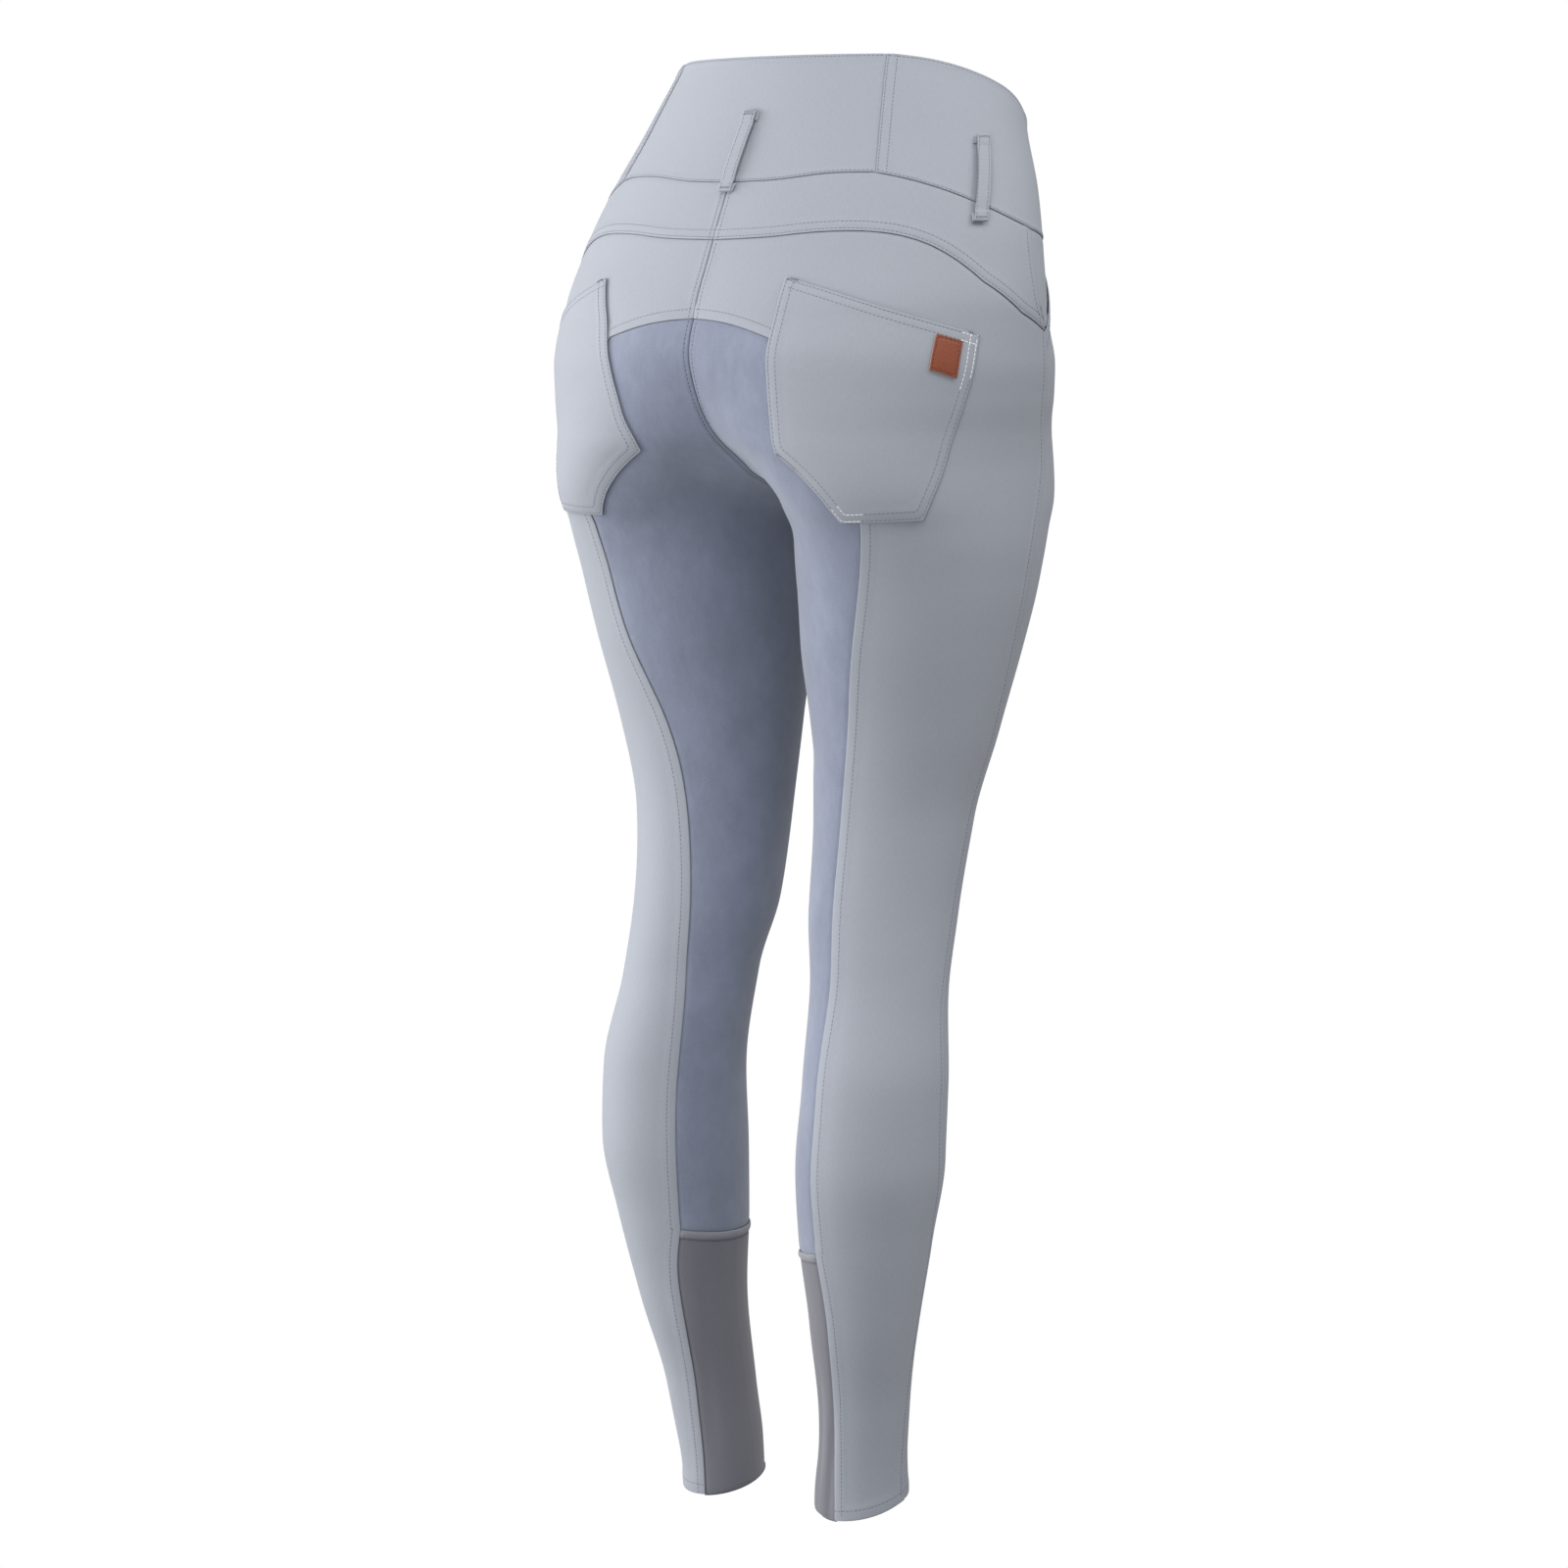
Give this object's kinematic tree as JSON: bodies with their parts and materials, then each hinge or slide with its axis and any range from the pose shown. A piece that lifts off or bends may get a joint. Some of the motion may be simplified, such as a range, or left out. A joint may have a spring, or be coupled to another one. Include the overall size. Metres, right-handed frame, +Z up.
{
  "type": "riding breeches",
  "caption": "Close-fitting riding breeches with a high band, back yoke, suede full seat, back patch pockets and stretch calf panels, filled out as worn.",
  "frame": {"origin": "middle of the waist opening, level with the band's back edge, where the garment is held", "axes": "+Z up, out of the waist opening; the front faces -Y and the wearer's left is +X"},
  "size_m": [0.3499, 0.2504, 0.9577],
  "materials": {
    "light_cloth": "matt fine stretch weave",
    "suede": "napped synthetic suede",
    "stretch_cloth": "matt stretch cloth",
    "leather": "matt",
    "button": "satin"
  },
  "bodies": {
    "root": {"back_left": "light_cloth", "back_right": "light_cloth", "button_lower": "button", "button_upper": "button", "calf_left": "stretch_cloth", "calf_right": "stretch_cloth", "fly": "light_cloth", "front_left": "light_cloth", "front_right": "light_cloth", "hip_pocket_left": "light_cloth", "hip_pocket_right": "light_cloth", "label": "leather", "loop_back": "light_cloth", "loop_front_left": "light_cloth", "loop_front_right": "light_cloth", "loop_side_left": "light_cloth", "loop_side_right": "light_cloth", "pocket_left": "light_cloth", "pocket_right": "light_cloth", "seat_left": "suede", "seat_right": "suede", "waistband_back": "light_cloth", "waistband_left": "light_cloth", "waistband_right": "light_cloth", "yoke_left": "light_cloth", "yoke_right": "light_cloth"}
  },
  "joints": []
}
